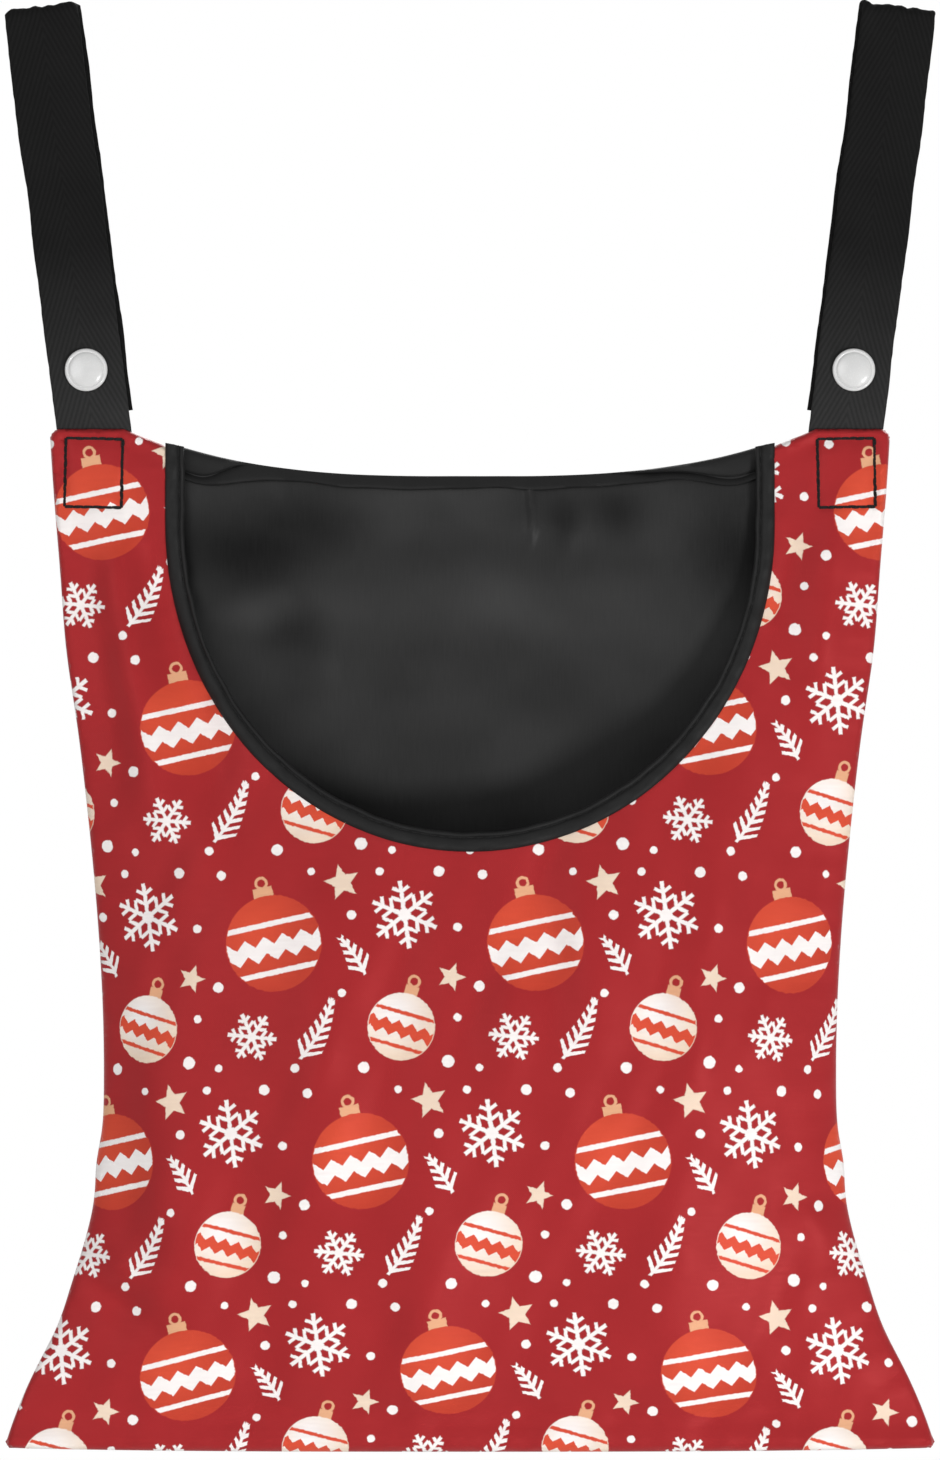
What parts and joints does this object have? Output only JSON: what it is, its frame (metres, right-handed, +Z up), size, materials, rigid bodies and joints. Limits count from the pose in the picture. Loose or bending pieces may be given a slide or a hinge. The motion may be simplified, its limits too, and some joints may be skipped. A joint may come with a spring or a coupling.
{
  "type": "peg bag",
  "caption": "Lined cloth bag with a deep bound scoop mouth, hung on a line by leaning twill straps that fold over it and snap back onto themselves.",
  "frame": {"origin": "on the axis of the line that the bag hangs on, midway between the two strap loops", "axes": "+Z up, +X along the line to the right as seen from the front, +Y from the front to the back"},
  "size_m": [0.3024, 0.0523, 0.4698],
  "materials": {
    "red_cloth": "printed polyester with a soft sheen",
    "black_satin": "black satin lining",
    "black_tape": "folded bias tape",
    "black_twill": "herringbone twill tape",
    "black_thread": "sewing thread",
    "white_cap": "glossy white moulding"
  },
  "bodies": {
    "straps": {"left_strap_leg": "black_twill", "left_snap_front_cap": "white_cap", "left_snap_stud": "white_cap", "right_strap_leg": "black_twill", "right_snap_front_cap": "white_cap", "right_snap_stud": "white_cap"},
    "bag": {"front_panel": "red_cloth", "back_panel": "red_cloth", "front_lining": "black_satin", "back_lining": "black_satin", "mouth_binding": "black_tape", "back_hem_tape": "black_tape", "left_box_stitch": "black_thread", "right_box_stitch": "black_thread", "left_strap_tail": "black_twill", "right_strap_tail": "black_twill"},
    "left_flap": {"left_strap_flap": "black_twill", "left_snap_socket": "white_cap", "left_snap_rear_cap": "white_cap"},
    "right_flap": {"right_strap_flap": "black_twill", "right_snap_socket": "white_cap", "right_snap_rear_cap": "white_cap"}
  },
  "joints": [
    {"name": "bag_swing", "type": "hinge", "parent": "straps", "child": "bag", "pos_m": [0, -0.0031, -0.1311], "axis": [1, 0, 0], "range_deg": [-90, 60]},
    {"name": "left_flap_fold", "type": "hinge", "parent": "straps", "child": "left_flap", "pos_m": [-0.13927, 0, 0.00367], "axis": [0.9919, 0, 0.1271], "range_deg": [0, 170]},
    {"name": "right_flap_fold", "type": "hinge", "parent": "straps", "child": "right_flap", "pos_m": [0.13927, 0, 0.00367], "axis": [0.9919, 0, -0.1271], "range_deg": [0, 170]}
  ]
}
